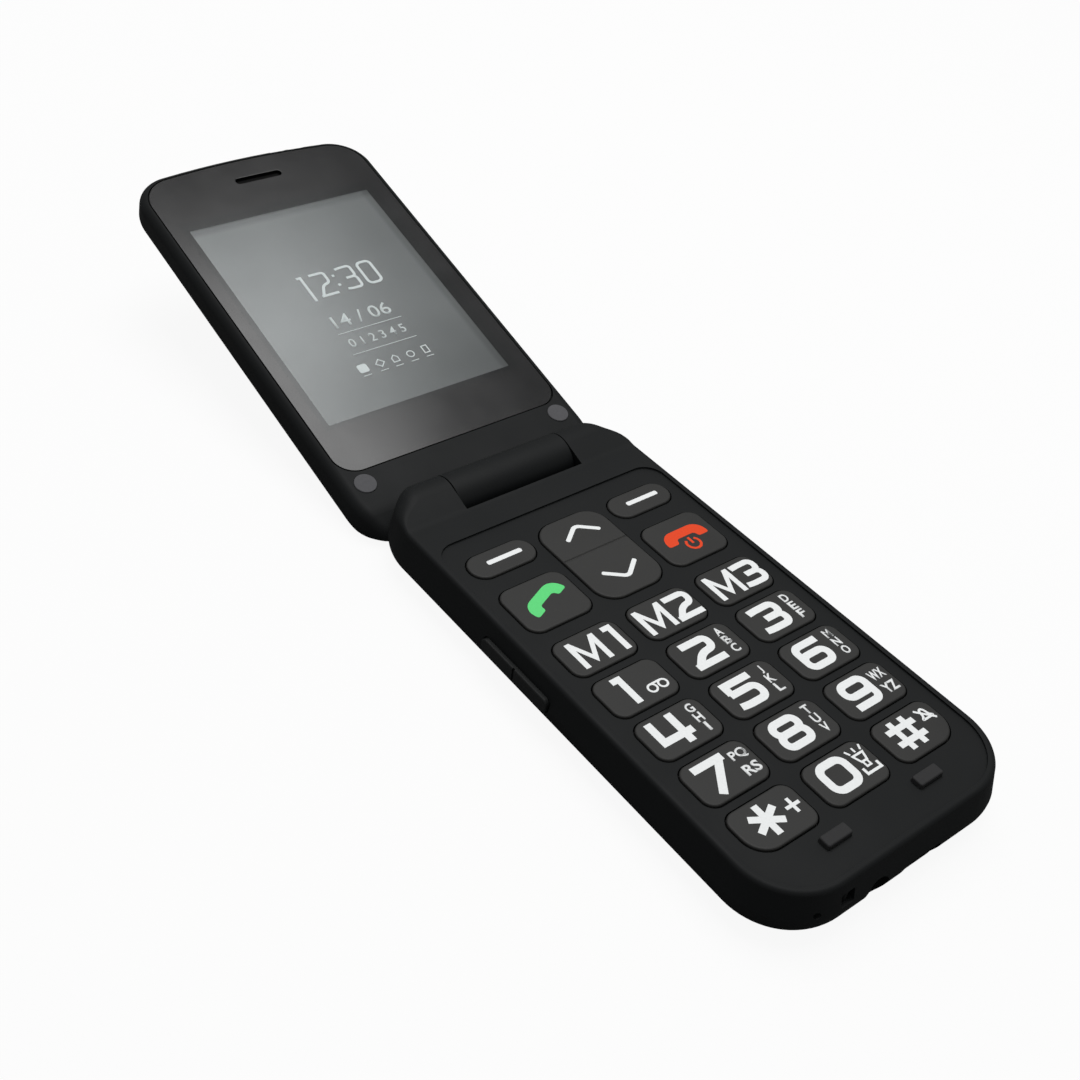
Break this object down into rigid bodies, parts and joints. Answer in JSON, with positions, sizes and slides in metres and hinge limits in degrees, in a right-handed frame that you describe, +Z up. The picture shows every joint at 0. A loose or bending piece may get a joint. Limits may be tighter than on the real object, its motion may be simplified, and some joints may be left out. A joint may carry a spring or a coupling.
{
  "type": "flip phone",
  "caption": "Folding mobile phone, opened flat: hinged lid with display over a keypad half with large keys, side rocker, battery, boards and a sprung cam hinge.",
  "frame": {"origin": "middle of the flat back face of the keypad half, which lies on the table", "axes": "+Z up out of the keypad, +Y along the phone from keypad end to hinge and lid, +X to the right seen from the keypad end; hinge axis along X"},
  "size_m": [0.056, 0.2052, 0.0299],
  "materials": {
    "shell_black": "soft-touch matte",
    "key_black": "satin",
    "inner_plastic": "moulded",
    "window_black": "polished",
    "rubber_grey": "matte",
    "rubber_clear": "matte",
    "board_green": "solder mask",
    "battery_wrap": "film",
    "steel": "brushed",
    "nickel": "plated",
    "contact_gold": "plated",
    "flex_amber": "film",
    "clear_glass": "polished",
    "led_white": "diffusing",
    "display_grey": "lit panel",
    "magnet": "plated"
  },
  "bodies": {
    "keypad_half": {"keypad_housing": "shell_black", "rear_chassis": "inner_plastic", "battery_cover": "shell_black", "battery": "battery_wrap", "battery_contacts": "contact_gold", "main_board": "board_green", "dome_sheet": "steel", "keypad_mat": "rubber_clear", "usb_socket": "nickel", "headphone_jack": "inner_plastic", "microphone": "steel", "antenna": "inner_plastic", "loudspeaker": "steel", "camera_module": "inner_plastic", "camera_window": "clear_glass", "torch_led": "led_white", "sim_holder": "steel", "side_switch": "inner_plastic", "keypad_stops": "rubber_grey", "chassis_screws": "steel", "hinge_cam": "steel", "hinge_bush": "steel"},
    "lid": {"lid_frame": "shell_black", "lid_cover": "shell_black", "display_window": "window_black", "display_panel": "display_grey", "lid_board": "board_green", "earpiece": "steel", "earpiece_mesh": "steel", "screw_pads": "rubber_grey", "lid_screws": "steel", "vibration_motor": "steel", "lid_magnet": "magnet", "hinge_cartridge": "steel", "hinge_follower": "steel", "hinge_spring": "steel", "display_flex": "flex_amber"},
    "soft_key_left": {"soft_key_left": "key_black"},
    "soft_key_right": {"soft_key_right": "key_black"},
    "call_key": {"call_key": "key_black"},
    "end_key": {"end_key": "key_black"},
    "memory_key_1": {"memory_key_1": "key_black"},
    "memory_key_2": {"memory_key_2": "key_black"},
    "memory_key_3": {"memory_key_3": "key_black"},
    "key_1": {"key_1": "key_black"},
    "key_2": {"key_2": "key_black"},
    "key_3": {"key_3": "key_black"},
    "key_4": {"key_4": "key_black"},
    "key_5": {"key_5": "key_black"},
    "key_6": {"key_6": "key_black"},
    "key_7": {"key_7": "key_black"},
    "key_8": {"key_8": "key_black"},
    "key_9": {"key_9": "key_black"},
    "key_star": {"key_star": "key_black"},
    "key_0": {"key_0": "key_black"},
    "key_hash": {"key_hash": "key_black"},
    "nav_rocker": {"nav_rocker": "key_black"},
    "volume_rocker": {"volume_rocker": "key_black"}
  },
  "joints": [
    {"name": "lid_hinge", "type": "hinge", "parent": "keypad_half", "child": "lid", "pos_m": [0, 0.0491, 0.008], "axis": [1, 0, 0], "range_deg": [0, 165.5]},
    {"name": "soft_key_left_press", "type": "slide", "parent": "keypad_half", "child": "soft_key_left", "axis": [0, 0, -1], "range_m": [0, 0.00035], "stiffness_N_per_m": 4000},
    {"name": "soft_key_right_press", "type": "slide", "parent": "keypad_half", "child": "soft_key_right", "axis": [0, 0, -1], "range_m": [0, 0.00035], "stiffness_N_per_m": 4000},
    {"name": "call_key_press", "type": "slide", "parent": "keypad_half", "child": "call_key", "axis": [0, 0, -1], "range_m": [0, 0.00035], "stiffness_N_per_m": 4000},
    {"name": "end_key_press", "type": "slide", "parent": "keypad_half", "child": "end_key", "axis": [0, 0, -1], "range_m": [0, 0.00035], "stiffness_N_per_m": 4000},
    {"name": "memory_key_1_press", "type": "slide", "parent": "keypad_half", "child": "memory_key_1", "axis": [0, 0, -1], "range_m": [0, 0.00035], "stiffness_N_per_m": 4000},
    {"name": "memory_key_2_press", "type": "slide", "parent": "keypad_half", "child": "memory_key_2", "axis": [0, 0, -1], "range_m": [0, 0.00035], "stiffness_N_per_m": 4000},
    {"name": "memory_key_3_press", "type": "slide", "parent": "keypad_half", "child": "memory_key_3", "axis": [0, 0, -1], "range_m": [0, 0.00035], "stiffness_N_per_m": 4000},
    {"name": "key_1_press", "type": "slide", "parent": "keypad_half", "child": "key_1", "axis": [0, 0, -1], "range_m": [0, 0.00035], "stiffness_N_per_m": 4000},
    {"name": "key_2_press", "type": "slide", "parent": "keypad_half", "child": "key_2", "axis": [0, 0, -1], "range_m": [0, 0.00035], "stiffness_N_per_m": 4000},
    {"name": "key_3_press", "type": "slide", "parent": "keypad_half", "child": "key_3", "axis": [0, 0, -1], "range_m": [0, 0.00035], "stiffness_N_per_m": 4000},
    {"name": "key_4_press", "type": "slide", "parent": "keypad_half", "child": "key_4", "axis": [0, 0, -1], "range_m": [0, 0.00035], "stiffness_N_per_m": 4000},
    {"name": "key_5_press", "type": "slide", "parent": "keypad_half", "child": "key_5", "axis": [0, 0, -1], "range_m": [0, 0.00035], "stiffness_N_per_m": 4000},
    {"name": "key_6_press", "type": "slide", "parent": "keypad_half", "child": "key_6", "axis": [0, 0, -1], "range_m": [0, 0.00035], "stiffness_N_per_m": 4000},
    {"name": "key_7_press", "type": "slide", "parent": "keypad_half", "child": "key_7", "axis": [0, 0, -1], "range_m": [0, 0.00035], "stiffness_N_per_m": 4000},
    {"name": "key_8_press", "type": "slide", "parent": "keypad_half", "child": "key_8", "axis": [0, 0, -1], "range_m": [0, 0.00035], "stiffness_N_per_m": 4000},
    {"name": "key_9_press", "type": "slide", "parent": "keypad_half", "child": "key_9", "axis": [0, 0, -1], "range_m": [0, 0.00035], "stiffness_N_per_m": 4000},
    {"name": "key_star_press", "type": "slide", "parent": "keypad_half", "child": "key_star", "axis": [0, 0, -1], "range_m": [0, 0.00035], "stiffness_N_per_m": 4000},
    {"name": "key_0_press", "type": "slide", "parent": "keypad_half", "child": "key_0", "axis": [0, 0, -1], "range_m": [0, 0.00035], "stiffness_N_per_m": 4000},
    {"name": "key_hash_press", "type": "slide", "parent": "keypad_half", "child": "key_hash", "axis": [0, 0, -1], "range_m": [0, 0.00035], "stiffness_N_per_m": 4000},
    {"name": "nav_rocker_tilt", "type": "hinge", "parent": "keypad_half", "child": "nav_rocker", "pos_m": [0, 0.0207, 0.0083], "axis": [1, 0, 0], "range_deg": [-1.5, 1.5], "stiffness_Nm_per_rad": 0.35},
    {"name": "volume_rocker_tilt", "type": "hinge", "parent": "keypad_half", "child": "volume_rocker", "pos_m": [-0.02495, 0.00835, 0.006], "axis": [0, 0, 1], "range_deg": [-1.8, 1.8], "stiffness_Nm_per_rad": 0.2}
  ]
}
